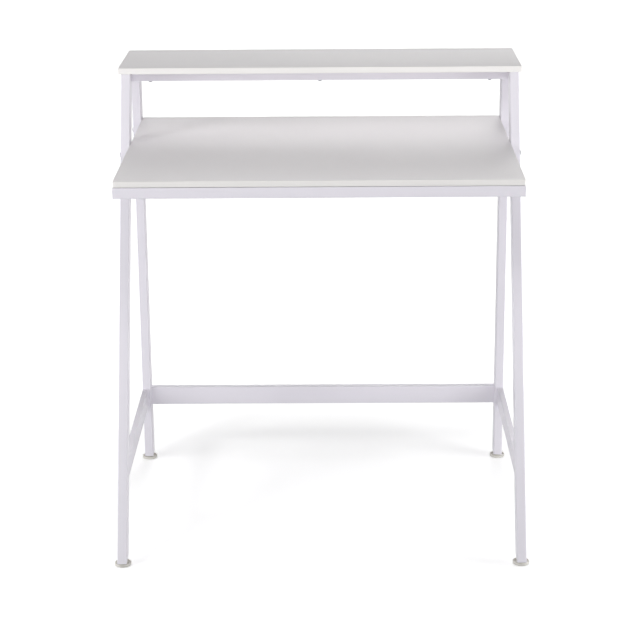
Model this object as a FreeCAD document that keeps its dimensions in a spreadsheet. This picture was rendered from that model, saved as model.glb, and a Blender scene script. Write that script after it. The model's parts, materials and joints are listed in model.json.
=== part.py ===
import FreeCAD, Part
import os
import re
import Sketcher

# White compact desk: a board in a mitred tube frame hangs between two splayed side frames,
# which also carry a raised shelf. Millimetres, +Z up, front towards -Y.
# Origin: on the floor, midway between the front legs' toes and the rear legs' backs.

driving = [
    ("deskHeight", 750, "floor to the desktop's upper face"),
    ("clearWidth", 740, "between the inner faces of the side frames"),
    ("deskDepth", 590, "desktop and its frame, front to back"),
    ("desktopThick", 12, "desktop board"),
    ("boardGap", 0.5, "desktop board to leg, each side"),
    ("boardCorner", 5, "plan radius of the boards' corners"),
    ("boardEdge", 0.8, "bevel of the boards' edge band"),
    ("shelfTop", 140, "desktop's upper face to the shelf's upper face"),
    ("shelfDepth", 220, "shelf board, front to back"),
    ("shelfThick", 12, "shelf board"),
    ("shelfOverhang", 6, "shelf past the legs' outer faces"),
    ("baseDepth", 600, "front legs' toes to rear legs' backs"),
    ("legWidth", 18, "leg tube across the desk"),
    ("legDepth", 38, "leg tube front to back, square to its length"),
    ("legWall", 1.2, "leg tube wall"),
    ("legCorner", 2, "leg tube corner radius"),
    ("legEnd", 10, "floor to the legs' sawn ends"),
    ("frameTube", 20, "square tube of the desktop frame"),
    ("frameWall", 1.2, "desktop frame wall"),
    ("frameCorner", 1.5, "desktop frame corner radius"),
    ("barTube", 20, "shelf bar and side top rails, height"),
    ("barDepth", 20, "shelf bar front to back"),
    ("barWall", 1.2, "shelf bar and top rail wall"),
    ("barCorner", 1.5, "shelf bar and top rail corner radius"),
    ("barBehindLeg", 3.5, "shelf bar's bolt line behind the front leg's top"),
    ("stretcherBottom", 126, "floor to the braces and the rear crossbar"),
    ("braceHeight", 38, "side brace"),
    ("braceWidth", 12, "side brace across the desk"),
    ("crossHeight", 38, "rear crossbar"),
    ("crossDepth", 18, "rear crossbar front to back"),
    ("stretcherWall", 1.2, "brace and crossbar wall"),
    ("stretcherCorner", 1.5, "brace and crossbar corner radius"),
    ("boltDiameter", 6, "frame bolts"),
    ("boltHole", 6.4, "clearance hole for a frame bolt"),
    ("threadGap", 0.05, "thread clearance, radial"),
    ("headDiameter", 11, "button head of a frame bolt"),
    ("headHeight", 3, "button head"),
    ("headRim", 0.8, "straight edge under the button's slope"),
    ("socketAcross", 4, "hex socket, across flats"),
    ("socketDepth", 1.8, "hex socket"),
    ("nutAcross", 10, "weld nut, across flats"),
    ("nutThick", 5, "weld nut"),
    ("boltTail", 2, "bolt past its nut"),
    ("endBlock", 15, "threaded block in a bar's end"),
    ("blockGap", 0.1, "block to tube wall"),
    ("boltGrip", 12, "bolt inside an end block"),
    ("screwDiameter", 4, "wood screws"),
    ("screwHole", 4.4, "clearance hole for a wood screw"),
    ("screwHead", 9, "pan head of a wood screw"),
    ("screwHeadHeight", 2.8, "pan head"),
    ("screwCover", 3.2, "board left above a pilot hole"),
    ("tipGap", 0.3, "pilot hole past a screw's tip"),
    ("barScrewInset", 35, "shelf bar's outer screws from its ends"),
    ("frameScrewInset", 60, "desktop screws from the frame's front and rear"),
    ("frameScrewStep", 140, "desktop's second screw behind the first"),
    ("railScrewInset", 30, "shelf's side screws from the rear legs"),
    ("padDiameter", 32, "levelling foot's base"),
    ("padRim", 4.6, "base, height of its outer edge"),
    ("padDish", 3.8, "base, height at the foot of its hub"),
    ("padHub", 7, "base, height of its hub"),
    ("hubDiameter", 15, "base, hub"),
    ("dishInner", 19, "base, diameter at the foot of its hub"),
    ("padEdge", 1.2, "base, bevel of its outer edge"),
    ("padFloor", 2, "base, thickness under the stud"),
    ("studDiameter", 8, "levelling stud"),
    ("studRun", 0.05, "stud running clearance, radial"),
    ("studReach", 20, "stud above the leg's sawn end"),
    ("plugHeight", 28, "threaded plug in a leg's end"),
    ("plugGap", 0.1, "plug to tube wall"),
    ("overrun", 4, "cutters past the ends they open"),
]

doc = FreeCAD.newDocument("CompactDesk")
sheet = doc.addObject("Spreadsheet::Sheet", "Sizes")
for row, (alias, size, note) in enumerate(driving, start=1):
    sheet.set(f"A{row}", alias)
    sheet.set(f"B{row}", str(size))
    sheet.set(f"C{row}", note)
    sheet.setAlias(f"B{row}", alias)
doc.recompute()

aliasWords = re.compile(r"\b(" + "|".join(alias for alias, size, note in driving) + r")\b")


def sized(text):
    return aliasWords.sub(r"Sizes.\1", text)


def valueOf(text):
    return float(sheet.evalExpression(sized(text)))


# Places worked out from the driving sizes
toeFront = "(-baseDepth / 2)"
back = "(baseDepth / 2)"
deskFront = f"({back} - deskDepth)"
deskMiddle = f"({back} - deskDepth / 2)"
legTop = "(deskHeight + shelfTop - shelfThick)"
shelfFront = f"({back} - shelfDepth)"
lean = f"(({shelfFront} - {toeFront}) / ({legTop} - legEnd))"
leanStretch = f"sqrt(1 + {lean} ^ 2)"
legSlice = f"(legDepth * {leanStretch})"
rearLegFront = f"({back} - legDepth)"
rearLegMiddle = f"({back} - legDepth / 2)"
innerFace = "(clearWidth / 2)"
outerFace = "(clearWidth / 2 + legWidth)"
legMiddle = "(clearWidth / 2 + legWidth / 2)"
frameTop = "(deskHeight - desktopThick)"
frameBottom = f"({frameTop} - frameTube)"
frameBolt = f"({frameTop} - frameTube / 2)"
stretcherMiddle = "(stretcherBottom + crossHeight / 2)"
barBottom = f"({legTop} - barTube)"
barBolt = f"({legTop} - barTube / 2)"
barMiddle = f"({shelfFront} + {legSlice} + barBehindLeg)"


def legFrontAt(height):
    return f"({toeFront} + {lean} * ({height} - legEnd))"


def legBackAt(height):
    return f"({legFrontAt(height)} + {legSlice})"


def legMiddleAt(height):
    return f"({legFrontAt(height)} + {legSlice} / 2)"


# Building helpers

subParts = []
tiny = 1e-6


def newBody(label):
    body = doc.addObject("PartDesign::Body", label)
    body.Label = label
    return body


def place(piece, x="0", y="0", z="0", turn=0):
    piece.Placement = FreeCAD.Placement(FreeCAD.Vector(), FreeCAD.Rotation(FreeCAD.Vector(0, 0, 1), turn))
    for axis, expression in zip("xyz", (x, y, z)):
        piece.setExpression(f"Placement.Base.{axis}", sized(expression))


def newSketch(body, plane, name, offset=None):
    sketch = body.newObject("Sketcher::SketchObject", name)
    support = [feature for feature in body.Origin.OriginFeatures if feature.Role == plane][0]
    sketch.AttachmentSupport = [(support, "")]
    sketch.MapMode = "FlatFace"
    if offset:
        sketch.setExpression("AttachmentOffset.Base.z", sized(offset))
    return sketch


def bindConstraint(sketch, constraint, name, expression):
    index = sketch.addConstraint(constraint)
    sketch.renameConstraint(index, name)
    sketch.setExpression(f"Constraints.{name}", sized(expression))


def pinPoint(sketch, geometry, position, point, name):
    for kind, axis, expression in zip(("DistanceX", "DistanceY"), "xy", point):
        constraint = Sketcher.Constraint(kind, -1, 1, geometry, position, valueOf(expression))
        bindConstraint(sketch, constraint, f"{name}{axis}", expression)


def outline(body, plane, name, corners, offset=None):
    sketch = newSketch(body, plane, name, offset)
    points = [FreeCAD.Vector(valueOf(across), valueOf(along), 0) for across, along in corners]
    count = len(points)
    for index in range(count):
        sketch.addGeometry(Part.LineSegment(points[index], points[(index + 1) % count]))
    for index in range(count):
        sketch.addConstraint(Sketcher.Constraint("Coincident", index, 2, (index + 1) % count, 1))
    for index, corner in enumerate(corners):
        pinPoint(sketch, index, 1, corner, f"corner{index}")
    return sketch


def circles(body, plane, name, centres, diameter, offset=None):
    sketch = newSketch(body, plane, name, offset)
    normal = FreeCAD.Vector(0, 0, 1)
    for index, centre in enumerate(centres):
        at = FreeCAD.Vector(valueOf(centre[0]), valueOf(centre[1]), 0)
        sketch.addGeometry(Part.Circle(at, normal, valueOf(diameter) / 2))
        pinPoint(sketch, index, 3, centre, f"centre{index}")
        across = Sketcher.Constraint("Diameter", index, valueOf(diameter))
        bindConstraint(sketch, across, f"diameter{index}", diameter)
    return sketch


def pad(body, sketch, length, symmetric=False):
    feature = body.newObject("PartDesign::Pad", f"{sketch.Name}Pad")
    feature.Profile = sketch
    feature.SideType = "Symmetric" if symmetric else "One side"
    feature.setExpression("Length", sized(length))
    doc.recompute()
    return feature


def pocket(body, sketch, length=None, symmetric=False, reverse=False):
    before = body.Shape.Volume
    feature = body.newObject("PartDesign::Pocket", f"{sketch.Name}Pocket")
    feature.Profile = sketch
    feature.SideType = "Symmetric" if symmetric else "One side"
    feature.Reversed = reverse
    if length:
        feature.setExpression("Length", sized(length))
    else:
        feature.Type = "ThroughAll"
    doc.recompute()
    if body.Shape.Volume > before - tiny:
        raise RuntimeError(f"{body.Label}: {sketch.Label} cuts nothing")
    return feature


def fillet(body, base, edges, radius):
    feature = body.newObject("PartDesign::Fillet", f"{base.Name}Fillet")
    feature.Base = (base, edges)
    feature.setExpression("Radius", sized(radius))
    doc.recompute()
    return feature


def chamfer(body, base, edges, size):
    feature = body.newObject("PartDesign::Chamfer", f"{base.Name}Chamfer")
    feature.Base = (base, edges)
    feature.setExpression("Size", sized(size))
    doc.recompute()
    return feature


def edgesAlong(feature, direction):
    names = []
    for index, edge in enumerate(feature.Shape.Edges, start=1):
        if isinstance(edge.Curve, Part.Line) and edge.Curve.Direction.cross(direction).Length < tiny:
            names.append(f"Edge{index}")
    return names


def revolve(body, sketch):
    feature = body.newObject("PartDesign::Revolution", f"{sketch.Name}Turn")
    feature.Profile = sketch
    feature.ReferenceAxis = (sketch, ["V_Axis"])
    feature.Angle = 360
    doc.recompute()
    return feature


def tube(label, plane, corners, hollow, thickness, wall, corner, along):
    # A tube sawn to an outline: its face is drawn, given its thickness, rounded along its length and hollowed
    body = newBody(label)
    blank = pad(body, outline(body, plane, f"{label}_outline", corners), thickness, symmetric=True)
    fillet(body, blank, edgesAlong(blank, along), corner)
    inside = outline(body, plane, f"{label}_hollow", hollow)
    pocket(body, inside, f"{thickness} - 2 * {wall}", symmetric=True)
    subParts.append(body)
    return body


def group(label, pattern, seats):
    # Identical fasteners: one is modelled, the rest are links to it, and all are one compound
    members = [pattern]
    place(pattern, *seats[0])
    for seat in seats[1:]:
        link = doc.addObject("App::Link", f"{label}_copy")
        link.LinkedObject = pattern
        place(link, *seat)
        members.append(link)
    compound = doc.addObject("Part::Compound", label)
    compound.Label = label
    compound.Links = members
    subParts.append(compound)


sides = (("left", -1), ("right", 1))
acrossDesk = FreeCAD.Vector(1, 0, 0)
alongDepth = FreeCAD.Vector(0, 1, 0)
upright = FreeCAD.Vector(0, 0, 1)


# Side frames

def frontLeg(side):
    leanAxis = FreeCAD.Vector(0, valueOf(lean), 1).normalize()
    skew = f"({lean} * overrun)"
    wallSlice = f"(legWall * {leanStretch})"
    corners = [
        (legFrontAt("legEnd"), "legEnd"),
        (legBackAt("legEnd"), "legEnd"),
        (legBackAt(legTop), legTop),
        (legFrontAt(legTop), legTop),
    ]
    hollow = [
        (f"{legFrontAt('legEnd')} + {wallSlice} - {skew}", "legEnd - overrun"),
        (f"{legBackAt('legEnd')} - {wallSlice} - {skew}", "legEnd - overrun"),
        (f"{legBackAt(legTop)} - {wallSlice} + {skew}", f"{legTop} + overrun"),
        (f"{legFrontAt(legTop)} + {wallSlice} + {skew}", f"{legTop} + overrun"),
    ]
    leg = tube(f"{side}_front_leg", "YZ_Plane", corners, hollow, "legWidth", "legWall", "legCorner", leanAxis)
    bolt = [(legMiddleAt(frameBolt), frameBolt)]
    pocket(leg, circles(leg, "YZ_Plane", f"{side}_front_leg_bolt", bolt, "boltHole"), symmetric=True)
    return leg


def rearLeg(side):
    corners = [(rearLegFront, "legEnd"), (back, "legEnd"), (back, legTop), (rearLegFront, legTop)]
    hollow = [
        (f"{rearLegFront} + legWall", "legEnd - overrun"),
        (f"{back} - legWall", "legEnd - overrun"),
        (f"{back} - legWall", f"{legTop} + overrun"),
        (f"{rearLegFront} + legWall", f"{legTop} + overrun"),
    ]
    leg = tube(f"{side}_rear_leg", "YZ_Plane", corners, hollow, "legWidth", "legWall", "legCorner", upright)
    bolts = [(rearLegMiddle, frameBolt), (rearLegMiddle, stretcherMiddle)]
    pocket(leg, circles(leg, "YZ_Plane", f"{side}_rear_leg_bolts", bolts, "boltHole"), symmetric=True)
    return leg


def legTie(label, bottom, top, thickness, wall, corner):
    # A tube from the front leg's slanting back face to the rear leg's front face
    corners = [(legBackAt(bottom), bottom), (rearLegFront, bottom), (rearLegFront, top), (legBackAt(top), top)]
    hollow = [
        (f"{legBackAt(bottom)} - overrun", f"{bottom} + {wall}"),
        (f"{rearLegFront} + overrun", f"{bottom} + {wall}"),
        (f"{rearLegFront} + overrun", f"{top} - {wall}"),
        (f"{legBackAt(top)} - overrun", f"{top} - {wall}"),
    ]
    return tube(label, "YZ_Plane", corners, hollow, thickness, wall, corner, alongDepth)


railScrewLine = f"({rearLegFront} - railScrewInset)"

for side, sign in sides:
    place(frontLeg(side), x=f"{sign} * {legMiddle}")
    place(rearLeg(side), x=f"{sign} * {legMiddle}")

    brace = legTie(f"{side}_side_brace", "stretcherBottom", "(stretcherBottom + braceHeight)",
                   "braceWidth", "stretcherWall", "stretcherCorner")
    place(brace, x=f"{sign} * ({outerFace} - braceWidth / 2)")

    topRail = legTie(f"{side}_top_rail", barBottom, legTop, "legWidth", "barWall", "barCorner")
    barSeat = circles(topRail, "YZ_Plane", f"{side}_top_rail_bolt", [(barMiddle, barBolt)], "boltHole")
    pocket(topRail, barSeat, symmetric=True)
    screwSeat = circles(topRail, "XY_Plane", f"{side}_top_rail_screw", [("0", railScrewLine)], "screwHole")
    pocket(topRail, screwSeat, reverse=True)
    place(topRail, x=f"{sign} * {legMiddle}")


# Crossbars between the side frames

def crossbar(label, bottom, top, depth, wall, corner, middle):
    half = innerFace
    corners = [(f"-{half}", bottom), (half, bottom), (half, top), (f"-{half}", top)]
    hollow = [
        (f"-{half} - overrun", f"{bottom} + {wall}"),
        (f"{half} + overrun", f"{bottom} + {wall}"),
        (f"{half} + overrun", f"{top} - {wall}"),
        (f"-{half} - overrun", f"{top} - {wall}"),
    ]
    bar = tube(label, "XZ_Plane", corners, hollow, depth, wall, corner, acrossDesk)
    place(bar, y=middle)
    return bar


crossbar("rear_crossbar", "stretcherBottom", "(stretcherBottom + crossHeight)", "crossDepth",
         "stretcherWall", "stretcherCorner", rearLegMiddle)
shelfBar = crossbar("shelf_bar", barBottom, legTop, "barDepth", "barWall", "barCorner", barMiddle)
barScrewLine = f"({innerFace} - barScrewInset)"
barScrews = [(f"-{barScrewLine}", "0"), ("0", "0"), (barScrewLine, "0")]
pocket(shelfBar, circles(shelfBar, "XY_Plane", "shelf_bar_screws_seat", barScrews, "screwHole"), reverse=True)


# Desktop frame: four tubes mitred at the corners

def mitredRail(label, length):
    half = f"({length} / 2)"
    corners = [
        (f"-{half}", "0"),
        (half, "0"),
        (f"{half} - frameTube", "frameTube"),
        (f"frameTube - {half}", "frameTube"),
    ]
    hollow = [
        (f"-{half} - overrun", "frameWall"),
        (f"{half} + overrun", "frameWall"),
        (f"{half} + overrun", "frameTube - frameWall"),
        (f"-{half} - overrun", "frameTube - frameWall"),
    ]
    return tube(label, "XY_Plane", corners, hollow, "frameTube", "frameWall", "frameCorner", acrossDesk)


place(mitredRail("desk_front_rail", "clearWidth"), y=deskFront, z=frameBolt)
place(mitredRail("desk_rear_rail", "clearWidth"), y=back, z=frameBolt, turn=180)

frameScrewLines = (
    f"({deskFront} + frameScrewInset)",
    f"({deskFront} + frameScrewInset + frameScrewStep)",
    f"({back} - frameScrewInset)",
)
frameBoltLines = (legMiddleAt(frameBolt), rearLegMiddle)

for side, sign in sides:
    # The rail is drawn along X and turned, so its own X runs along the depth, backwards on the right side
    rail = mitredRail(f"desk_{side}_rail", "deskDepth")
    boltSeats = [(f"{sign} * ({line} - {deskMiddle})", "0") for line in frameBoltLines]
    boltSketch = circles(rail, "XZ_Plane", f"desk_{side}_rail_bolts", boltSeats, "boltHole")
    pocket(rail, boltSketch, "2 * frameWall", symmetric=True)
    screwSeats = [(f"{sign} * ({line} - {deskMiddle})", "frameTube / 2") for line in frameScrewLines]
    screwSketch = circles(rail, "XY_Plane", f"desk_{side}_rail_screws", screwSeats, "screwHole")
    pocket(rail, screwSketch, symmetric=True)
    place(rail, x=f"{sign} * {innerFace}", y=deskMiddle, z=frameBolt, turn=90 * sign)


# Boards

def board(label, width, depth, thickness, pilots):
    # Rectangular board with rounded corners, a bevelled edge band and blind pilot holes below
    body = newBody(label)
    corners = [
        (f"-{width} / 2", f"-{depth} / 2"),
        (f"{width} / 2", f"-{depth} / 2"),
        (f"{width} / 2", f"{depth} / 2"),
        (f"-{width} / 2", f"{depth} / 2"),
    ]
    blank = pad(body, outline(body, "XY_Plane", f"{label}_outline", corners), thickness)
    rounded = fillet(body, blank, edgesAlong(blank, upright), "boardCorner")
    rims = []
    for index, edge in enumerate(rounded.Shape.Edges, start=1):
        if edge.BoundBox.ZLength < tiny:
            rims.append(f"Edge{index}")
    chamfer(body, rounded, rims, "boardEdge")
    holes = circles(body, "XY_Plane", f"{label}_pilots", pilots, "screwDiameter + 2 * threadGap")
    pocket(body, holes, f"{thickness} - screwCover", reverse=True)
    subParts.append(body)
    return body


deskScrews = []
for side, sign in sides:
    for line in frameScrewLines:
        deskScrews.append((f"{sign} * ({innerFace} - frameTube / 2)", line))
deskPilots = [(across, f"{line} - {deskMiddle}") for across, line in deskScrews]
place(board("desktop", "(clearWidth - 2 * boardGap)", "deskDepth", "desktopThick", deskPilots),
      y=deskMiddle, z=frameTop)

shelfMiddle = f"({back} - shelfDepth / 2)"
sideScrews = [(f"{sign} * {legMiddle}", railScrewLine) for side, sign in sides]
shelfScrews = sideScrews + [(across, barMiddle) for across, line in barScrews]
shelfPilots = [(across, f"{line} - {shelfMiddle}") for across, line in shelfScrews]
shelfWidth = f"(2 * {outerFace} + 2 * shelfOverhang)"
place(board("shelf", shelfWidth, "shelfDepth", "shelfThick", shelfPilots), y=shelfMiddle, z=legTop)


# Threaded blocks in the crossbars' ends

def endBlocks(label, bottom, top, depth, wall, middle):
    block = newBody(f"{label}_pattern")
    low = f"{bottom} + {wall} + blockGap"
    high = f"{top} - {wall} - blockGap"
    half = f"({depth} / 2 - {wall} - blockGap)"
    face = outline(block, "YZ_Plane", f"{label}_face",
                   [(f"-{half}", low), (half, low), (half, high), (f"-{half}", high)])
    pad(block, face, "endBlock")
    centre = [("0", f"({bottom} + {top}) / 2")]
    bore = circles(block, "YZ_Plane", f"{label}_bore", centre, "boltDiameter + 2 * threadGap")
    pocket(block, bore, reverse=True)
    group(label, block, [(f"-{innerFace}", middle), (f"{innerFace} - endBlock", middle)])


endBlocks("crossbar_end_blocks", "stretcherBottom", "(stretcherBottom + crossHeight)", "crossDepth",
          "stretcherWall", rearLegMiddle)
endBlocks("shelf_bar_end_blocks", barBottom, legTop, "barDepth", "barWall", barMiddle)


# Bolts, nuts and screws

def hexagon(across):
    radius = f"{across} / sqrt(3)"
    return [(f"{radius} * cos({60 * step})", f"{radius} * sin({60 * step})") for step in range(6)]


def boltPattern(label, length):
    # Button-head bolt along +X, its head's bearing face on its own YZ plane
    bolt = newBody(f"{label}_pattern")
    head = circles(bolt, "YZ_Plane", f"{label}_head", [("0", "0")], "headDiameter", offset="-headHeight")
    dome = pad(bolt, head, "headHeight")
    crown = []
    for index, edge in enumerate(dome.Shape.Edges, start=1):
        if edge.BoundBox.XLength < tiny and edge.BoundBox.XMin < -tiny:
            crown.append(f"Edge{index}")
    chamfer(bolt, dome, crown, "headHeight - headRim")
    shank = circles(bolt, "YZ_Plane", f"{label}_shank", [("0", "0")], "boltDiameter")
    pad(bolt, shank, length)
    socket = outline(bolt, "YZ_Plane", f"{label}_socket", hexagon("socketAcross"), offset="-headHeight")
    pocket(bolt, socket, "socketDepth", reverse=True)
    return bolt


def boltSeats(outer, line, height):
    return [(f"-{outer}", line, height, 0), (outer, line, height, 180)]


frameSeats = boltSeats(outerFace, frameBoltLines[0], frameBolt) + boltSeats(outerFace, frameBoltLines[1], frameBolt)
frameBoltLength = "legWidth + frameWall + nutThick + boltTail"
group("desk_frame_bolts", boltPattern("desk_frame_bolts", frameBoltLength), frameSeats)
group("crossbar_bolts", boltPattern("crossbar_bolts", "legWidth + boltGrip"),
      boltSeats(outerFace, rearLegMiddle, stretcherMiddle))
group("shelf_bar_bolts", boltPattern("shelf_bar_bolts", "legWidth + boltGrip"),
      boltSeats(outerFace, barMiddle, barBolt))

nut = newBody("desk_frame_nuts_pattern")
pad(nut, outline(nut, "YZ_Plane", "desk_frame_nuts_face", hexagon("nutAcross")), "nutThick")
nutBore = circles(nut, "YZ_Plane", "desk_frame_nuts_bore", [("0", "0")], "boltDiameter + 2 * threadGap")
pocket(nut, nutBore, reverse=True)
nutFace = f"({innerFace} - frameWall)"
nutSeats = boltSeats(nutFace, frameBoltLines[0], frameBolt) + boltSeats(nutFace, frameBoltLines[1], frameBolt)
group("desk_frame_nuts", nut, nutSeats)


def screwGroup(label, length, points, height):
    # Pan-head screw along +Z, its head's bearing face on its own XY plane
    screw = newBody(f"{label}_pattern")
    head = circles(screw, "XY_Plane", f"{label}_head", [("0", "0")], "screwHead", offset="-screwHeadHeight")
    pad(screw, head, "screwHeadHeight")
    shank = circles(screw, "XY_Plane", f"{label}_shank", [("0", "0")], "screwDiameter")
    pad(screw, shank, length)
    group(label, screw, [(across, line, height) for across, line in points])


screwGroup("desktop_screws", "frameTube + desktopThick - screwCover - tipGap", deskScrews, frameBottom)
barScrewPoints = [(across, barMiddle) for across, line in barScrews]
screwGroup("shelf_bar_screws", "barTube + shelfThick - screwCover - tipGap", barScrewPoints, barBottom)
screwGroup("shelf_side_screws", "barTube + shelfThick - screwCover - tipGap", sideScrews, barBottom)


# Levelling feet

def footPlug(label, legFront, legBack, wallSlice):
    # Threaded plug that fills the leg's end, slanting with the leg while its bore stays upright
    plugTop = "(legEnd + plugHeight)"
    gap = f"({wallSlice} + plugGap)"
    corners = [
        (f"{legFront('legEnd')} + {gap}", "legEnd"),
        (f"{legBack('legEnd')} - {gap}", "legEnd"),
        (f"{legBack(plugTop)} - {gap}", plugTop),
        (f"{legFront(plugTop)} + {gap}", plugTop),
    ]
    plug = newBody(label)
    pad(plug, outline(plug, "YZ_Plane", f"{label}_outline", corners),
        "legWidth - 2 * legWall - 2 * plugGap", symmetric=True)
    centre = [("0", f"({legFront('legEnd')} + {legBack('legEnd')}) / 2")]
    bore = circles(plug, "XY_Plane", f"{label}_bore", centre, "studDiameter + 2 * studRun")
    pocket(plug, bore, reverse=True)
    subParts.append(plug)
    return plug


def footStud(label):
    stud = newBody(label)
    rod = circles(stud, "XY_Plane", f"{label}_rod", [("0", "0")], "studDiameter", offset="padFloor + studRun")
    pad(stud, rod, "legEnd + studReach - padFloor - studRun")
    subParts.append(stud)
    return stud


def footPad(label):
    # Dished plastic base: bevelled rim, top sinking to a hub round the stud
    base = newBody(label)
    radius = "padDiameter / 2"
    bore = "studDiameter / 2 + studRun"
    profile = [
        ("0", "0"),
        (radius, "0"),
        (radius, "padRim - padEdge"),
        (f"{radius} - padEdge", "padRim"),
        ("dishInner / 2", "padDish"),
        ("hubDiameter / 2", "padHub"),
        (bore, "padHub"),
        (bore, "padFloor"),
        ("0", "padFloor"),
    ]
    revolve(base, outline(base, "XZ_Plane", f"{label}_profile", profile))
    subParts.append(base)
    return base


def rearFront(height):
    return rearLegFront


def rearBack(height):
    return back


legEnds = (
    ("front", legFrontAt, legBackAt, f"(legWall * {leanStretch})"),
    ("rear", rearFront, rearBack, "legWall"),
)
for end, legFront, legBack, wallSlice in legEnds:
    standing = f"({legFront('legEnd')} + {legBack('legEnd')}) / 2"
    for side, sign in sides:
        foot = f"{end}_{side}_foot"
        across = f"{sign} * {legMiddle}"
        place(footPlug(f"{foot}_plug", legFront, legBack, wallSlice), x=across)
        place(footStud(f"{foot}_stud"), x=across, y=standing)
        place(footPad(f"{foot}_pad"), x=across, y=standing)


# Check every object, then write one file for each sub-part

doc.recompute()
for item in doc.Objects:
    if "Invalid" in item.State or "Error" in item.State:
        raise RuntimeError(f"{item.Label} failed: {item.State}")
for piece in subParts:
    if piece.Shape.isNull() or not piece.Shape.isValid():
        raise RuntimeError(f"{piece.Label} has no sound shape")

os.makedirs("parts", exist_ok=True)
whole = Part.Compound([piece.Shape for piece in subParts])
box = whole.BoundBox
print(f"{len(subParts)} sub-parts, {len(whole.Solids)} solids")
print(f"X {box.XMin:.2f} {box.XMax:.2f}  Y {box.YMin:.2f} {box.YMax:.2f}  Z {box.ZMin:.2f} {box.ZMax:.2f}")
for piece in subParts:
    piece.Shape.exportStep(f"parts/{piece.Label}.step")
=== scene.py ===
import json
import math

import bpy
from mathutils import Matrix, Vector


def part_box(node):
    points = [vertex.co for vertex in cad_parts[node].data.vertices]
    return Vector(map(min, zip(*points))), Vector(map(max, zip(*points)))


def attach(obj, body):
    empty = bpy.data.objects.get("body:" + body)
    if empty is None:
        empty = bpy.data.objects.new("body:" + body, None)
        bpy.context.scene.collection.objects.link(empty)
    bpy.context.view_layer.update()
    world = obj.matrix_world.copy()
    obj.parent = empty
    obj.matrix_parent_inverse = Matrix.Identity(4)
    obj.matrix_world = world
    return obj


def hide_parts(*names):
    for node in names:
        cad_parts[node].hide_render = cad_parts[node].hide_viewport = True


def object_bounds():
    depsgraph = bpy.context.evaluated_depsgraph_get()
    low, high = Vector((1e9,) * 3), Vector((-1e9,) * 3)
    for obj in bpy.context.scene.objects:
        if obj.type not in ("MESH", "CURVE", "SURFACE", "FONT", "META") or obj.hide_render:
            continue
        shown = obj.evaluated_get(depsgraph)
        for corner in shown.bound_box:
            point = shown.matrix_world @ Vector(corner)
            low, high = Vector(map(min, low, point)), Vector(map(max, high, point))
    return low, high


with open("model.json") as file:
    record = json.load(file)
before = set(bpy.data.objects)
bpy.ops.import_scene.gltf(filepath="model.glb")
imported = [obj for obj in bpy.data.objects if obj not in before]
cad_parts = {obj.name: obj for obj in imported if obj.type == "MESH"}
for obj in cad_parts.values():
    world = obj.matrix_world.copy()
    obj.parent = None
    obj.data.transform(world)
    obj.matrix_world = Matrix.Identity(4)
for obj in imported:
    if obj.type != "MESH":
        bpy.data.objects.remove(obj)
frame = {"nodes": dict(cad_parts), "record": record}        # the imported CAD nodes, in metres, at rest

cadLow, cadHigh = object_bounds()
mm = 0.001
hair = 0.01 * mm         # tolerance when faces and edges are picked
facing = 0.99            # a face looks along an axis when its normal passes this
print("frame loaded:", len(frame["nodes"]), "nodes")


# Small helpers for modelling

def deselectAll():
    bpy.ops.object.select_all(action="DESELECT")


def makeActive(piece):
    deselectAll()
    piece.select_set(True)
    bpy.context.view_layer.objects.active = piece


def newPiece(name):
    # names the object that was just made
    piece = bpy.context.object
    piece.name = name
    piece.data.name = name
    return piece


def pickEdges(piece, wanted):
    # opens edit mode with just the edges selected whose two ends pass the test
    bpy.ops.object.mode_set(mode="EDIT")
    bpy.ops.mesh.select_mode(type="EDGE")
    bpy.ops.mesh.select_all(action="DESELECT")
    bpy.ops.object.mode_set(mode="OBJECT")
    spots = piece.data.vertices
    for edge in piece.data.edges:
        first, second = edge.vertices
        edge.select = wanted(spots[first].co, spots[second].co)
    bpy.ops.object.mode_set(mode="EDIT")


def pickFaces(piece, wanted):
    # opens edit mode with just the faces selected whose centre and normal pass the test
    bpy.ops.object.mode_set(mode="EDIT")
    bpy.ops.mesh.select_mode(type="FACE")
    bpy.ops.mesh.select_all(action="DESELECT")
    bpy.ops.object.mode_set(mode="OBJECT")
    for face in piece.data.polygons:
        face.select = wanted(face.center, face.normal)
    bpy.ops.object.mode_set(mode="EDIT")


def leaveEdit():
    bpy.ops.object.mode_set(mode="OBJECT")


def applyModifier(piece, kind, **settings):
    makeActive(piece)
    modifier = piece.modifiers.new(kind.lower(), kind)
    for name, value in settings.items():
        setattr(modifier, name, value)
    bpy.ops.object.modifier_apply(modifier=modifier.name)


def cutAway(piece, cutter):
    applyModifier(piece, "BOOLEAN", operation="DIFFERENCE", object=cutter, solver="EXACT")
    bpy.data.objects.remove(cutter)


def placeInMesh(piece):
    # the object goes to the origin, and its place goes into its mesh
    makeActive(piece)
    bpy.ops.object.transform_apply(location=True, rotation=True, scale=True)


def smoothOver(piece, degrees=35):
    # edges that turn by more than this stay crisp
    makeActive(piece)
    bpy.ops.object.shade_smooth_by_angle(angle=math.radians(degrees))


def faceOutwards(piece):
    makeActive(piece)
    bpy.ops.object.mode_set(mode="EDIT")
    bpy.ops.mesh.select_all(action="SELECT")
    bpy.ops.mesh.normals_make_consistent(inside=False)
    leaveEdit()


def copyOf(pattern):
    # with a mesh of its own
    piece = pattern.copy()
    piece.data = pattern.data.copy()
    bpy.context.scene.collection.objects.link(piece)
    return piece


def drawOut(piece, axis, patternLength, length):
    # slides a fastener's tip along its axis, so that the shank gets its own length
    for vertex in piece.data.vertices:
        if vertex.co[axis] > patternLength / 2:
            vertex.co[axis] += length - patternLength


def joinAs(name, members):
    deselectAll()
    for member in members:
        member.select_set(True)
    bpy.context.view_layer.objects.active = members[0]
    bpy.ops.object.join()
    return newPiece(name)


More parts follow.
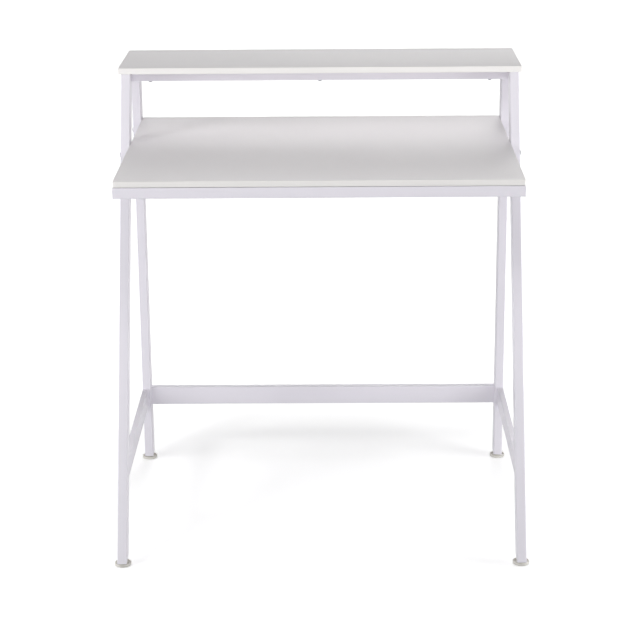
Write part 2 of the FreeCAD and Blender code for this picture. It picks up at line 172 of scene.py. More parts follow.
def fastenerBoxes(node, reach=40 * mm):
    # lowest and highest corner of each fastener in a group node
    groups = []
    for vertex in frame["nodes"][node].data.vertices:
        for group in groups:
            if (vertex.co - group[0]).length < reach:
                group.append(vertex.co)
                break
        else:
            groups.append([vertex.co])
    boxes = []
    for group in groups:
        low = Vector([min(spot[axis] for spot in group) for axis in range(3)])
        high = Vector([max(spot[axis] for spot in group) for axis in range(3)])
        boxes.append((low, high))
    return boxes


# Materials

def linearColour(hexCode):
    # sRGB to linear light
    channels = [int(hexCode[start:start + 2], 16) / 255 for start in (1, 3, 5)]
    linear = [one / 12.92 if one <= 0.04045 else ((one + 0.055) / 1.055) ** 2.4 for one in channels]
    return (*linear, 1.0)


def addNode(tree, kind, settings=None, inputs=None):
    # an input that is a socket is linked, any other is set as a value
    node = tree.nodes.new(kind)
    for name, value in (settings or {}).items():
        setattr(node, name, value)
    for name, value in (inputs or {}).items():
        if isinstance(value, bpy.types.NodeSocket):
            tree.links.new(value, node.inputs[name])
        else:
            node.inputs[name].default_value = value
    return node


def newMaterial(name):
    # an empty node tree, and the Object coordinates that its patterns read
    material = bpy.data.materials.new(name)
    material.use_nodes = True
    tree = material.node_tree
    tree.nodes.clear()
    return material, tree, addNode(tree, "ShaderNodeTexCoord").outputs["Object"]


def patternScale(sizeMm):
    # noise scale whose blotches are about this many millimetres across, on coordinates in metres
    return 1 / (sizeMm * mm)


def finishSurface(tree, look, tintPattern, relief):
    # one pattern mixes the two colours, the other gives the roughness and the relief
    tint = addNode(tree, "ShaderNodeMix", {"data_type": "RGBA"},
                   {0: tintPattern, 6: linearColour(look["colour"]), 7: linearColour(look["shade"])})
    gloss = addNode(tree, "ShaderNodeMapRange", None,
                    {"Value": relief, "To Min": look["roughLow"], "To Max": look["roughHigh"]})
    bump = addNode(tree, "ShaderNodeBump", None,
                   {"Height": relief, "Strength": look["reliefShare"], "Distance": look["reliefHeight"]})
    shader = addNode(tree, "ShaderNodeBsdfPrincipled", None,
                     {"Base Color": tint.outputs[2], "Roughness": gloss.outputs["Result"],
                      "Normal": bump.outputs["Normal"], **look["shader"]})
    addNode(tree, "ShaderNodeOutputMaterial", None, {"Surface": shader.outputs["BSDF"]})


coatSettings = {
    "colour": "#ECE9F0",
    "shade": "#E6E3EB",
    "cloudMm": 140,
    "cloudDetail": 3.0,
    "peelMm": 4.0,       # real orange peel is about 1.5 mm, drawn coarser so that it shows
    "peelDetail": 2.0,
    "peelRoughness": 0.45,
    "reliefHeight": 0.02 * mm,
    "reliefShare": 0.1,
    "roughLow": 0.36,
    "roughHigh": 0.46,
    "shader": {"IOR": 1.5},
}


def powderCoat():
    # white polyester powder coat on steel tube: satin, with a soft orange peel and a cool cast
    look = coatSettings
    material, tree, spot = newMaterial("white powder coat")
    cloud = addNode(tree, "ShaderNodeTexNoise", None,
                    {"Vector": spot, "Scale": patternScale(look["cloudMm"]),
                     "Detail": look["cloudDetail"]})
    peel = addNode(tree, "ShaderNodeTexNoise", None,
                   {"Vector": spot, "Scale": patternScale(look["peelMm"]),
                    "Detail": look["peelDetail"], "Roughness": look["peelRoughness"]})
    finishSurface(tree, look, cloud.outputs["Fac"], peel.outputs["Fac"])
    return material


faceSettings = {
    "colour": "#F0EDEE",
    "shade": "#EAE7E8",
    "cloudMm": 220,
    "cloudDetail": 2.0,
    "pearlMm": 3.0,      # the press plate's pearl is about 0.8 mm, drawn coarser so that it shows
    "pearlDetail": 3.0,
    "reliefHeight": 0.015 * mm,
    "reliefShare": 0.3,
    "roughLow": 0.36,
    "roughHigh": 0.46,
    "shader": {"IOR": 1.5},
}


def melamineFace():
    # white melamine paper pressed on particle board: even, low sheen, faint pearl emboss
    look = faceSettings
    material, tree, spot = newMaterial("white melamine face")
    cloud = addNode(tree, "ShaderNodeTexNoise", None,
                    {"Vector": spot, "Scale": patternScale(look["cloudMm"]),
                     "Detail": look["cloudDetail"]})
    pearl = addNode(tree, "ShaderNodeTexNoise", None,
                    {"Vector": spot, "Scale": patternScale(look["pearlMm"]),
                     "Detail": look["pearlDetail"]})
    finishSurface(tree, look, cloud.outputs["Fac"], pearl.outputs["Fac"])
    return material


bandSettings = {
    "colour": "#EFEDEB",
    "shade": "#E9E7E5",
    "streakMm": (260, 260, 2.5),     # drawn lines run along the band, as it leaves the extruder
    "streakDetail": 3.0,
    "reliefHeight": 0.01 * mm,
    "reliefShare": 0.25,
    "roughLow": 0.3,
    "roughHigh": 0.42,
    "shader": {"IOR": 1.52},
}


def edgeBandPlastic():
    # extruded ABS edge band, glued round the board: a warmer white with fine lines along it
    look = bandSettings
    material, tree, spot = newMaterial("warm white edge band")
    stretch = addNode(tree, "ShaderNodeMapping", None,
                      {"Vector": spot, "Scale": [patternScale(size) for size in look["streakMm"]]})
    streak = addNode(tree, "ShaderNodeTexNoise", None,
                     {"Vector": stretch.outputs["Vector"], "Scale": 1.0,
                      "Detail": look["streakDetail"]})
    finishSurface(tree, look, streak.outputs["Fac"], streak.outputs["Fac"])
    return material


footSettings = {
    "colour": "#E8E6E0",
    "shade": "#DAD7D0",
    "cloudMm": 9,
    "cloudDetail": 3.0,
    "grainMm": 1.6,
    "grainDetail": 2.0,
    "reliefHeight": 0.03 * mm,
    "reliefShare": 0.4,
    "roughLow": 0.42,
    "roughHigh": 0.58,
    "shader": {"IOR": 1.51},
}


def mouldedFootPlastic():
    # injection-moulded polyethylene: ivory, waxy, slightly grained by the mould
    look = footSettings
    material, tree, spot = newMaterial("ivory moulded plastic")
    cloud = addNode(tree, "ShaderNodeTexNoise", None,
                    {"Vector": spot, "Scale": patternScale(look["cloudMm"]),
                     "Detail": look["cloudDetail"]})
    grain = addNode(tree, "ShaderNodeTexNoise", None,
                    {"Vector": spot, "Scale": patternScale(look["grainMm"]),
                     "Detail": look["grainDetail"]})
    finishSurface(tree, look, cloud.outputs["Fac"], grain.outputs["Fac"])
    return material


zincSettings = {
    "colour": "#B2B4B7",
    "shade": "#8E9094",
    "spangleMm": 2.2,
    "grainMm": 0.5,
    "grainDetail": 2.0,
    "reliefHeight": 0.008 * mm,
    "reliefShare": 0.3,
    "roughLow": 0.26,
    "roughHigh": 0.44,
    "shader": {"Metallic": 1.0},
}


def zincPlate():
    # bright zinc plate on steel bolts, screws and studs: mid-grey metal, faintly mottled
    look = zincSettings
    material, tree, spot = newMaterial("zinc plated steel")
    spangle = addNode(tree, "ShaderNodeTexVoronoi", None,
                      {"Vector": spot, "Scale": patternScale(look["spangleMm"])})
    grain = addNode(tree, "ShaderNodeTexNoise", None,
                    {"Vector": spot, "Scale": patternScale(look["grainMm"]),
                     "Detail": look["grainDetail"]})
    finishSurface(tree, look, spangle.outputs["Distance"], grain.outputs["Fac"])
    return material


coat = powderCoat()
face = melamineFace()
band = edgeBandPlastic()
footPlastic = mouldedFootPlastic()
zinc = zincPlate()
slotFinish = {
    "white_steel": coat,
    "white_board": face,
    "ivory_plastic": footPlastic,
    "zinc_steel": zinc,
}
for row in frame["record"]["subparts"]:
    node = frame["nodes"][row["node"]]
    node.data.materials.clear()
    node.data.materials.append(slotFinish[row["material_slot"]])
print("materials ready, on every CAD node")


def dress(piece, material, slot, body, *nodes):
    # gives a piece its finish and its body, and hides the CAD nodes that it stands for
    piece.data.materials.clear()
    piece.data.materials.append(material)
    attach(piece, body)
    if nodes:
        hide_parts(*nodes)


# Desktop and shelf: a melamine-faced core inside a glued edge band

boardSettings = {
    "boards": ("desktop", "shelf"),
    "cornerRadius": 3 * mm,
    "cornerSteps": 8,
    "bandThick": 1.2 * mm,
    "bandRound": 0.9 * mm,       # upper edge
    "bandSteps": 4,
    "bandUnder": 0.5 * mm,       # flat bevel of the lower edge
    "underSteps": 1,
    "standOff": {"desktop": 0.9 * mm, "shelf": 0},   # height of the dark seam under the edge
    "standIn": 8 * mm,           # over such a seam, the board rests on its frame this far inside
    "seam": 0.2 * mm,            # bevel of the core where it meets the band
    "seamSteps": 2,
    "planDigits": 6,             # a place in plan, in metres, is told apart to a micrometre
}


def addSlab(name, low, high, corner):
    # a flat block with rounded upright edges
    deselectAll()
    bpy.ops.mesh.primitive_cube_add(size=1, location=(low + high) / 2, scale=high - low)
    slab = newPiece(name)
    placeInMesh(slab)
    pickEdges(slab, lambda one, two: abs(one.z - two.z) > hair)
    bpy.ops.mesh.bevel(offset=corner, segments=boardSettings["cornerSteps"], affect="EDGES")
    leaveEdit()
    return slab


def boardCore(node):
    size = boardSettings
    low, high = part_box(node)
    inset = Vector((size["bandThick"], size["bandThick"], 0))
    stand = Vector((0, 0, size["standOff"][node]))
    corner = size["cornerRadius"] - size["bandThick"]
    core = addSlab(f"{node}_core", low + inset + stand, high - inset, corner)
    pickEdges(core, lambda one, two: abs(one.z - two.z) < hair)
    bpy.ops.mesh.bevel(offset=size["seam"], segments=size["seamSteps"], affect="EDGES")
    leaveEdit()
    if stand.z:
        plan = high - low - 2 * inset
        shares = [(side - 2 * size["standIn"]) / side for side in plan[:2]]
        pickFaces(core, lambda centre, normal: normal.z < -facing)
        bpy.ops.mesh.extrude_region_move(TRANSFORM_OT_translate={"value": (0, 0, 0)})
        bpy.ops.transform.resize(value=(*shares, 1), center_override=(low + high) / 2)
        bpy.ops.mesh.extrude_region_move(TRANSFORM_OT_translate={"value": -stand})
        leaveEdit()
    smoothOver(core)
    dress(core, face, "white_board", "frame", node)


def planKey(spot):
    digits = boardSettings["planDigits"]
    return round(spot.x, digits), round(spot.y, digits)


def bevelRim(ring, outerWall, height, offset, steps):
    # bevels the band's outer edge at this height

    def onRim(one, two):
        level = max(abs(one.z - height), abs(two.z - height)) < hair
        return level and planKey(one) in outerWall and planKey(two) in outerWall

    pickEdges(ring, onRim)
    bpy.ops.mesh.bevel(offset=offset, segments=steps, affect="EDGES")
    leaveEdit()


def boardBand(node):
    size = boardSettings
    low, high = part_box(node)
    low = low + Vector((0, 0, size["standOff"][node]))
    ring = addSlab(f"{node}_edge_band", low, high, size["cornerRadius"])
    outerWall = {planKey(vertex.co) for vertex in ring.data.vertices}
    pickFaces(ring, lambda centre, normal: abs(normal.z) > facing)
    bpy.ops.mesh.delete(type="ONLY_FACE")
    leaveEdit()
    applyModifier(ring, "SOLIDIFY", thickness=size["bandThick"], offset=-1, use_even_offset=True)
    bevelRim(ring, outerWall, high.z, size["bandRound"], size["bandSteps"])
    bevelRim(ring, outerWall, low.z, size["bandUnder"], size["underSteps"])
    smoothOver(ring)
    dress(ring, band, "white_board", "frame")


for node in boardSettings["boards"]:
    boardCore(node)
    boardBand(node)
print("boards and edge bands made")


# Button-head bolts with a hex socket

boltSettings = {
    "groups": ("desk_frame_bolts", "crossbar_bolts", "shelf_bar_bolts"),
    "headRadius": 5.5 * mm,
    "headHeight": 3.0 * mm,
    "rim": 0.7 * mm,
    "domeSteps": 8,
    "shankRadius": 3.0 * mm,
    "shankLength": 10 * mm,      # of the pattern; each copy is drawn out to its own length
    "tipBevel": 0.6 * mm,
    "tipSteps": 1,
    "socketSides": 6,
    "socketAcross": 4.0 * mm,    # between two flats
    "socketDepth": 1.8 * mm,
    "sides": 48,
    "smoothAngle": 40,
}


def boltPattern():
    # head towards -X, its bearing face at x = 0
    size = boltSettings
    top = -size["headHeight"]
    deselectAll()
    bpy.ops.mesh.primitive_cylinder_add(
        vertices=size["sides"], radius=size["headRadius"], depth=size["headHeight"],
        location=(top / 2, 0, 0), rotation=(0, math.pi / 2, 0))
    bolt = newPiece("bolt_pattern")
    placeInMesh(bolt)
    pickEdges(bolt, lambda one, two: max(one.x, two.x) < top + hair)
    bpy.ops.mesh.bevel(offset=size["headHeight"] - size["rim"], segments=size["domeSteps"],
                       affect="EDGES")
    leaveEdit()
    pickFaces(bolt, lambda centre, normal: normal.x > facing and centre.x > -hair)
    bpy.ops.mesh.inset(thickness=size["headRadius"] - size["shankRadius"])
    bpy.ops.mesh.extrude_region_move(TRANSFORM_OT_translate={"value": (size["shankLength"], 0, 0)})
    bpy.ops.mesh.bevel(offset=size["tipBevel"], segments=size["tipSteps"], affect="EDGES")
    leaveEdit()
    deselectAll()
    socketRadius = size["socketAcross"] / 2 / math.cos(math.pi / size["socketSides"])
    bpy.ops.mesh.primitive_cylinder_add(
        vertices=size["socketSides"], radius=socketRadius, depth=2 * size["socketDepth"],
        location=(top, 0, 0), rotation=(0, math.pi / 2, 0))
    cutAway(bolt, newPiece("socket_cutter"))
    smoothOver(bolt, size["smoothAngle"])
    return bolt


def boltGroup(node, pattern):
    size = boltSettings
    copies = []
    for low, high in fastenerBoxes(node):
        middle = (low + high) / 2
        leftSide = middle.x < 0
        bearing = low.x + size["headHeight"] if leftSide else high.x - size["headHeight"]
        turn = Matrix.Rotation(0 if leftSide else math.pi, 4, "Z")
        bolt = copyOf(pattern)
        drawOut(bolt, 0, size["shankLength"], high.x - low.x - size["headHeight"])
        bolt.data.transform(Matrix.Translation((bearing, middle.y, middle.z)) @ turn)
        copies.append(bolt)
    dress(joinAs(f"{node}_dressed", copies), zinc, "zinc_steel", "frame", node)


boltModel = boltPattern()
for node in boltSettings["groups"]:
    boltGroup(node, boltModel)
bpy.data.objects.remove(boltModel)
print("bolts made")


# Pan-head wood screws with a cross recess

screwSettings = {
    "groups": ("desktop_screws", "shelf_bar_screws", "shelf_side_screws"),
    "headRadius": 4.5 * mm,
    "headHeight": 2.8 * mm,
    "rim": 0.8 * mm,
    "panSteps": 6,
    "shankRadius": 2.0 * mm,
    "shankLength": 10 * mm,      # of the pattern, tip included
    "tipLength": 2.5 * mm,
    "tipShare": 0.12,
    "crossLength": 4.6 * mm,
    "crossWidth": 0.9 * mm,
    "crossDepth": 1.5 * mm,
    "sides": 40,
    "smoothAngle": 40,
}


def screwPattern():
    # head downwards, its bearing face at z = 0
    size = screwSettings
    bottom = -size["headHeight"]
    deselectAll()
    bpy.ops.mesh.primitive_cylinder_add(
        vertices=size["sides"], radius=size["headRadius"], depth=size["headHeight"],
        location=(0, 0, bottom / 2))
    screw = newPiece("screw_pattern")
    placeInMesh(screw)
    pickEdges(screw, lambda one, two: max(one.z, two.z) < bottom + hair)
    bpy.ops.mesh.bevel(offset=size["headHeight"] - size["rim"], segments=size["panSteps"],
                       affect="EDGES")
    leaveEdit()
    pickFaces(screw, lambda centre, normal: normal.z > facing and centre.z > -hair)
    bpy.ops.mesh.inset(thickness=size["headRadius"] - size["shankRadius"])
    straight = size["shankLength"] - size["tipLength"]
    bpy.ops.mesh.extrude_region_move(TRANSFORM_OT_translate={"value": (0, 0, straight)})
    bpy.ops.mesh.extrude_region_move(TRANSFORM_OT_translate={"value": (0, 0, size["tipLength"])})
    bpy.ops.transform.resize(value=(size["tipShare"], size["tipShare"], 1), center_override=(0, 0, 0))
    leaveEdit()
    for turn in (0, math.pi / 2):
        deselectAll()
        bpy.ops.mesh.primitive_cube_add(
            size=1, location=(0, 0, bottom), rotation=(0, 0, turn),
            scale=(size["crossLength"], size["crossWidth"], 2 * size["crossDepth"]))
        cutAway(screw, newPiece("cross_cutter"))
    smoothOver(screw, size["smoothAngle"])
    return screw


def screwGroup(node, pattern):
    size = screwSettings
    copies = []
    for low, high in fastenerBoxes(node):
        middle = (low + high) / 2
        screw = copyOf(pattern)
        drawOut(screw, 2, size["shankLength"], high.z - low.z - size["headHeight"])
        screw.data.transform(Matrix.Translation((middle.x, middle.y, low.z + size["headHeight"])))
        copies.append(screw)
    dress(joinAs(f"{node}_dressed", copies), zinc, "zinc_steel", "frame", node)


screwModel = screwPattern()
for node in screwSettings["groups"]:
    screwGroup(node, screwModel)
bpy.data.objects.remove(screwModel)
print("screws made")


# Weld beads in the corners where tubes meet, under the same powder coat

weldSettings = {
    "radius": 1.7 * mm,
    "ripple": 0.14,          # share of its radius by which every other step is thinner
    "endTaper": 0.5,
    "step": 2.2 * mm,
    "shortOf": 2.2 * mm,     # a bead stops this far short of a tube's side, clear of its rounding
    "tubeRound": 1.5 * mm,
    "roundSteps": 3,
    "smoothAngle": 60,
}


def startLine(name, place):
    # a small plane merged to a single point, to extrude a line from, left in edit mode
    deselectAll()
    bpy.ops.mesh.primitive_plane_add(size=mm, location=place)
    line = newPiece(name)
    placeInMesh(line)
    bpy.ops.object.mode_set(mode="EDIT")
    bpy.ops.mesh.select_mode(type="VERT")
    bpy.ops.mesh.select_all(action="SELECT")
    bpy.ops.mesh.merge(type="CENTER")
    return line


def beadAlong(name, points):
    # a rippled bead through the points, thinner at both ends
    size = weldSettings
    bead = startLine(name, points[0])
    for start, end in zip(points, points[1:]):
        run = Vector(end) - Vector(start)
        steps = max(1, round(run.length / size["step"]))
        for step in range(steps):
            bpy.ops.mesh.extrude_vertices_move(TRANSFORM_OT_translate={"value": run / steps})
    leaveEdit()
    makeActive(bead)
    bpy.ops.object.convert(target="CURVE")
    seam = bead.data
    seam.bevel_depth = size["radius"]
    seam.bevel_resolution = size["roundSteps"]
    seam.use_fill_caps = True
    spots = seam.splines[0].points
    for index, spot in enumerate(spots):
        spot.radius = 1 - size["ripple"] * (index % 2)
    spots[0].radius = size["endTaper"]
    spots[-1].radius = size["endTaper"]
    bpy.ops.object.convert(target="MESH")
    smoothOver(bead, size["smoothAngle"])
    return bead


def braceBead():
    # three sides of the left brace's rear end; its outer side is flush with the leg and ground flat
    size = weldSettings
    low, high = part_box("left_side_brace")
    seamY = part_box("left_rear_leg")[0].y
    outer = low.x + size["shortOf"]
    inner, edge = high.x, high.x - size["tubeRound"]
    return beadAlong("brace_bead", [
        (outer, seamY, low.z),
        (edge, seamY, low.z),
        (inner, seamY, low.z + size["tubeRound"]),
        (inner, seamY, high.z - size["tubeRound"]),
        (edge, seamY, high.z),
        (outer, seamY, high.z),
    ])


def straightBead():
    # along X through the origin, as long as a top rail is wide, less both rounded edges
    low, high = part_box("left_top_rail")
    reach = (high.x - low.x) / 2 - weldSettings["shortOf"]
    return beadAlong("straight_bead", [(-reach, 0, 0), (reach, 0, 0)])


def sideBeads(brace, straight):
    # where the left brace and top rail meet their legs, then mirrored for the right
    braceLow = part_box("left_side_brace")[0]
    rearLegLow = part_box("left_rear_leg")[0]
    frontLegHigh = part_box("left_front_leg")[1]
    railLow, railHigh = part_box("left_top_rail")
    slope = (frontLegHigh.y - braceLow.y) / (frontLegHigh.z - braceLow.z)
    lean = Matrix.Identity(4)        # slides the rear bead forward and leans it along the front leg
    lean[1][2] = slope
    lean[1][3] = braceLow.y - rearLegLow.y - slope * braceLow.z
    places = [(brace, Matrix.Identity(4)), (brace, lean)]
    middleX = (railLow.x + railHigh.x) / 2
    for seamY in (rearLegLow.y, railLow.y):
        places.append((straight, Matrix.Translation((middleX, seamY, railLow.z))))
    copies = []
    for pattern, matrix in places:
        bead = copyOf(pattern)
        bead.data.transform(matrix)
        copies.append(bead)
    left = joinAs("left_frame_weld_beads", copies)
    right = copyOf(left)
    right.name = right.data.name = "right_frame_weld_beads"
    right.data.transform(Matrix.Scale(-1, 4, (1, 0, 0)))
    faceOutwards(right)
    for beads in (left, right):
        dress(beads, coat, "white_steel", "frame")


def cornerBeads(straight):
    # upright, in the four inner corners of the desktop's frame
    low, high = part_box("desk_front_rail")
    frontY, backY = high.y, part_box("desk_rear_rail")[0].y
    leftX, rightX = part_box("desk_left_rail")[1].x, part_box("desk_right_rail")[0].x
    upright = Matrix.Rotation(math.pi / 2, 4, "Y")
    copies = []
    for x in (leftX, rightX):
        for y in (frontY, backY):
            bead = copyOf(straight)
            bead.data.transform(Matrix.Translation((x, y, (low.z + high.z) / 2)) @ upright)
            copies.append(bead)
    dress(joinAs("desk_frame_weld_beads", copies), coat, "white_steel", "frame")


braceModel, straightModel = braceBead(), straightBead()
sideBeads(braceModel, straightModel)
cornerBeads(straightModel)
for model in (braceModel, straightModel):
    bpy.data.objects.remove(model)
print("weld beads made")


# Levelling feet: dished base and threaded stud

feetSettings = {
    "corners": ("front_left", "front_right", "rear_left", "rear_right"),
    "rings": (       # radius and height in mm, from the recess underneath, round the rim, to the stud
        (10.6, 0.7), (11.2, 0.0), (15.0, 0.0), (15.7, 0.35), (16.0, 1.2), (16.0, 4.6), (15.7, 5.4),
        (15.0, 5.9), (14.2, 5.95), (13.6, 5.6), (12.6, 4.6), (11.0, 3.95), (9.8, 3.8), (9.0, 4.1),
        (8.2, 5.6), (7.6, 6.6), (7.0, 7.0), (4.3, 7.0), (4.05, 6.7), (4.05, 2.0),
    ),
    "sides": 72,
    "smoothAngle": 50,
}


def footBasePattern():
    # stands on z = 0, round the Z axis
    size = feetSettings
    radius, height = size["rings"][0]
    deselectAll()
    bpy.ops.mesh.primitive_circle_add(
        vertices=size["sides"], radius=radius * mm, fill_type="NGON", location=(0, 0, height * mm))
    base = newPiece("foot_base_pattern")
    placeInMesh(base)
    bpy.ops.object.mode_set(mode="EDIT")
    bpy.ops.mesh.select_all(action="SELECT")
    for nextRadius, nextHeight in size["rings"][1:]:
        rise = (nextHeight - height) * mm
        bpy.ops.mesh.extrude_region_move(TRANSFORM_OT_translate={"value": (0, 0, rise)})
        share = nextRadius / radius
        bpy.ops.transform.resize(value=(share, share, 1), center_override=(0, 0, 0))
        radius, height = nextRadius, nextHeight
    leaveEdit()
    faceOutwards(base)
    smoothOver(base, size["smoothAngle"])
    return base


threadSettings = {
    "pitch": 1.25 * mm,
    "crest": 3.98 * mm,
    "root": 3.25 * mm,
    "crestFlat": 0.18,       # shares of the pitch
    "rootFlat": 0.22,
    "steps": 40,
    "spareTurns": 2,         # at each end, cut off afterwards
    "mergeReach": 0.001 * mm,
    "smoothAngle": 30,
}


def studPattern(length):
    # threaded from z = 0 up to its length, round the Z axis
    size = threadSettings
    pitch, depth = size["pitch"], size["crest"] - size["root"]
    flank = (1 - size["crestFlat"] - size["rootFlat"]) / 2
    profile = ((depth, flank), (0, size["crestFlat"]), (-depth, flank), (0, size["rootFlat"]))
    stud = startLine("stud_pattern", (size["root"], 0, -size["spareTurns"] * pitch))
    for across, share in profile:
        bpy.ops.mesh.extrude_vertices_move(
            TRANSFORM_OT_translate={"value": (across, 0, share * pitch)})
    leaveEdit()
    turns = math.ceil(length / pitch) + 2 * size["spareTurns"]
    applyModifier(stud, "SCREW", axis="Z", angle=2 * math.pi, screw_offset=pitch, iterations=turns,
                  steps=size["steps"], render_steps=size["steps"], use_merge_vertices=True,
                  merge_threshold=size["mergeReach"])
    bpy.ops.object.mode_set(mode="EDIT")
    bpy.ops.mesh.select_all(action="SELECT")
    bpy.ops.mesh.remove_doubles(threshold=size["mergeReach"])
    for height, direction in ((0, -1), (length, 1)):
        bpy.ops.mesh.select_all(action="SELECT")
        bpy.ops.mesh.bisect(plane_co=(0, 0, height), plane_no=(0, 0, direction),
                            use_fill=True, clear_outer=True)
    leaveEdit()
    faceOutwards(stud)
    smoothOver(stud, size["smoothAngle"])
    return stud


def footPiece(name, pattern, node, material, slot, body):
    # a copy of the pattern, standing where its CAD node stands
    low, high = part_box(node)
    piece = copyOf(pattern)
    piece.name = piece.data.name = name
    piece.data.transform(Matrix.Translation(((low.x + high.x) / 2, (low.y + high.y) / 2, low.z)))
    dress(piece, material, slot, body, node)


studLow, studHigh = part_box("front_left_foot_stud")
baseModel, studModel = footBasePattern(), studPattern(studHigh.z - studLow.z)
for corner in feetSettings["corners"]:
    footPiece(f"{corner}_foot_base", baseModel, f"{corner}_foot_pad", footPlastic, "ivory_plastic",
              f"{corner}_pad")
    footPiece(f"{corner}_foot_thread", studModel, f"{corner}_foot_stud", zinc, "zinc_steel",
              f"{corner}_stud")
for model in (baseModel, studModel):
    bpy.data.objects.remove(model)
print("feet made")


# Stage: white floor, white surround, soft light

stageSettings = {
    "floorSize": 60.0,
    "floorDrop": 0.2 * mm,       # below the feet, so that no two faces lie in one plane
    "floorGrey": "#BCBCBE",      # the floor's own colour, for the light that it throws on the desk
    "floorShade": "#B9B9BB",
    "mottleMm": 500,
    "paperWhite": "#F0F0F0",     # the floor as the camera sees it
    "glowNear": 0.4,             # brings lit paper up to white, and leaves shadow a little below it
    "glowFar": 0.95,
    "glowReach": (0.45, 1.0),    # metres from the desk's middle over which the glow rises
    "surround": "#FFFFFF",
    "horizonLight": 0.38,        # the surround's light, brighter low down than overhead
    "zenithLight": 0.05,
}


def towardsWhite(tree):
    # 1 for what the camera, a mirror or glass sees, 0 for the light that reaches surfaces
    path = addNode(tree, "ShaderNodeLightPath")
    first = addNode(tree, "ShaderNodeMath", {"operation": "MAXIMUM"},
                    {0: path.outputs["Is Camera Ray"], 1: path.outputs["Is Glossy Ray"]})
    both = addNode(tree, "ShaderNodeMath", {"operation": "MAXIMUM"},
                   {0: first.outputs[0], 1: path.outputs["Is Transmission Ray"]})
    return both.outputs[0]


def whiteFloor():
    look = stageSettings
    deselectAll()
    bpy.ops.mesh.primitive_plane_add(
        size=look["floorSize"], location=(0, 0, cadLow.z - look["floorDrop"]))
    floor = newPiece("floor")
    material, tree, spot = newMaterial("white studio floor")
    mottle = addNode(tree, "ShaderNodeTexNoise", None,
                     {"Vector": spot, "Scale": patternScale(look["mottleMm"])})
    tint = addNode(tree, "ShaderNodeMix", {"data_type": "RGBA"},
                   {0: mottle.outputs["Fac"], 6: linearColour(look["floorGrey"]),
                    7: linearColour(look["floorShade"])})
    grey = addNode(tree, "ShaderNodeBsdfDiffuse", None, {"Color": tint.outputs[2]})
    paper = addNode(tree, "ShaderNodeBsdfDiffuse", None, {"Color": linearColour(look["paperWhite"])})
    away = addNode(tree, "ShaderNodeVectorMath", {"operation": "LENGTH"}, {0: spot})
    near, far = look["glowReach"]
    level = addNode(tree, "ShaderNodeMapRange", None,
                    {"Value": away.outputs["Value"], "From Min": near, "From Max": far,
                     "To Min": look["glowNear"], "To Max": look["glowFar"]})
    glow = addNode(tree, "ShaderNodeEmission", None, {"Strength": level.outputs["Result"]})
    seen = addNode(tree, "ShaderNodeAddShader", None, {0: paper.outputs[0], 1: glow.outputs[0]})
    mixed = addNode(tree, "ShaderNodeMixShader", None,
                    {0: towardsWhite(tree), 1: grey.outputs[0], 2: seen.outputs[0]})
    addNode(tree, "ShaderNodeOutputMaterial", None, {"Surface": mixed.outputs[0]})
    floor.data.materials.append(material)


def whiteSurround():
    look = stageSettings
    world = bpy.data.worlds.new("white studio")
    bpy.context.scene.world = world
    world.use_nodes = True
    tree = world.node_tree
    tree.nodes.clear()
    direction = addNode(tree, "ShaderNodeTexCoord").outputs["Generated"]
    height = addNode(tree, "ShaderNodeSeparateXYZ", None, {"Vector": direction})
    level = addNode(tree, "ShaderNodeMapRange", None,
                    {"Value": height.outputs["Z"], "To Min": look["horizonLight"],
                     "To Max": look["zenithLight"]})
    colour = linearColour(look["surround"])
    ambient = addNode(tree, "ShaderNodeBackground", None,
                      {"Color": colour, "Strength": level.outputs["Result"]})
    white = addNode(tree, "ShaderNodeBackground", None, {"Color": colour, "Strength": 1.0})
    mixed = addNode(tree, "ShaderNodeMixShader", None,
                    {0: towardsWhite(tree), 1: ambient.outputs[0], 2: white.outputs[0]})
    addNode(tree, "ShaderNodeOutputWorld", None, {"Surface": mixed.outputs[0]})


def addLamp(name, kind, place, direction):
    # a lamp that mirrors don't show: they show the white surround instead
    deselectAll()
    bpy.ops.object.light_add(type=kind, location=place)
    lamp = bpy.context.object
    lamp.name = name
    lamp.rotation_euler = direction.to_track_quat("-Z", "Y").to_euler()
    lamp.visible_glossy = False
    return lamp


softboxSettings = {      # place and aim in metres, size across and up, power in watts
    "key": {"place": (-1.72, -1.45, 1.8), "aim": (0.0, 0.0, 0.6), "size": (0.5, 0.5), "watts": 13.5},
    "left": {"place": (-1.6, -0.35, 0.5), "aim": (0.0, -0.35, 0.5), "size": (0.8, 0.8), "watts": 8.5},
    "right": {"place": (1.6, -0.35, 0.5), "aim": (0.0, -0.35, 0.5), "size": (0.8, 0.8), "watts": 12.5},
    "top": {"place": (0.4, -0.9, 1.9), "aim": (0.2, -0.1, 0.7), "size": (1.2, 0.4), "watts": 3.5},
    "near": {"place": (0.1, -0.8, 1.3), "aim": (0.0, 0.0, 0.7), "size": (1.0, 0.2), "watts": 1.0},
}


def softbox(name):
    box = softboxSettings[name]
    place, aim = Vector(box["place"]), Vector(box["aim"])
    lamp = addLamp(f"{name}_softbox", "AREA", place, aim - place)
    lamp.data.shape = "RECTANGLE"
    lamp.data.size, lamp.data.size_y = box["size"]
    lamp.data.energy = box["watts"]
    lamp.visible_camera = False


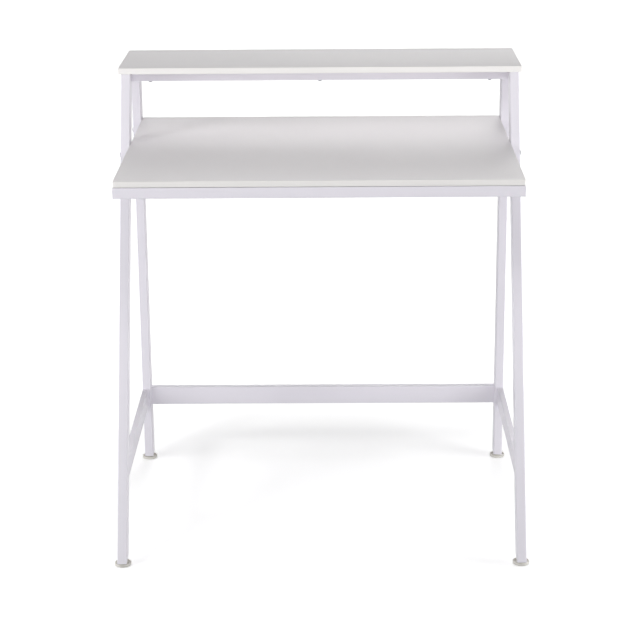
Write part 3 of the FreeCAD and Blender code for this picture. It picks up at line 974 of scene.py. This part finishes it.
wallSettings = {         # far walls of light; the low ones reach under the desktop and the shelf
    "front": {"strength": 1.11, "elevation": 3, "azimuth": 1, "softness": 24},
    "back": {"strength": 1.3, "elevation": 14, "azimuth": 172, "softness": 30},
    "lowBack": {"strength": 0.9, "elevation": 7, "azimuth": 176, "softness": 20},
    "highBack": {"strength": 0.12, "elevation": 35, "azimuth": 180, "softness": 30},
}


def lightWall(name):
    # azimuth in degrees, 0 in front and negative to the left, softness in degrees across
    wall = wallSettings[name]
    lift, turn = math.radians(wall["elevation"]), math.radians(wall["azimuth"])
    level = math.cos(lift)
    direction = Vector((-math.sin(turn) * level, math.cos(turn) * level, -math.sin(lift)))
    lamp = addLamp(f"{name}_light", "SUN", (0, 0, 0), direction)
    lamp.data.energy = wall["strength"]
    lamp.data.angle = math.radians(wall["softness"])


whiteFloor()
whiteSurround()
for name in wallSettings:
    lightWall(name)
for name in softboxSettings:
    softbox(name)
print("stage lit")


# Camera, solved from the desk's straight edges in the photograph

cameraSettings = {
    "place": (0.0304, -3.617, 1.5243),
    "yaw": -0.0091,          # radians, positive to the right of straight ahead
    "pitch": 0.3015,         # positive downwards
    "roll": -0.0078,
    "focalPixels": 1910.07,
    "imagePixels": 640,
    "sensorMm": 36.0,
    "farClip": 200.0,
}


def photoCamera():
    view = cameraSettings
    deselectAll()
    bpy.ops.object.camera_add(location=view["place"])
    camera = bpy.context.object
    camera.name = "photo_camera"
    yaw, pitch, roll = view["yaw"], view["pitch"], view["roll"]
    flat = math.cos(pitch)
    ahead = Vector((math.sin(yaw) * flat, math.cos(yaw) * flat, -math.sin(pitch)))
    level = Vector((math.cos(yaw), -math.sin(yaw), 0))
    above = level.cross(ahead)
    right = level * math.cos(roll) + above * math.sin(roll)
    up = above * math.cos(roll) - level * math.sin(roll)
    turn = Matrix((right, up, -ahead)).transposed()
    camera.matrix_world = Matrix.Translation(view["place"]) @ turn.to_4x4()
    camera.data.sensor_fit = "HORIZONTAL"
    camera.data.sensor_width = view["sensorMm"]
    camera.data.lens = view["focalPixels"] / view["imagePixels"] * view["sensorMm"]
    camera.data.clip_end = view["farClip"]
    bpy.context.scene.camera = camera


photoCamera()
bpy.context.scene.view_settings.view_transform = "Standard"
print("camera set")
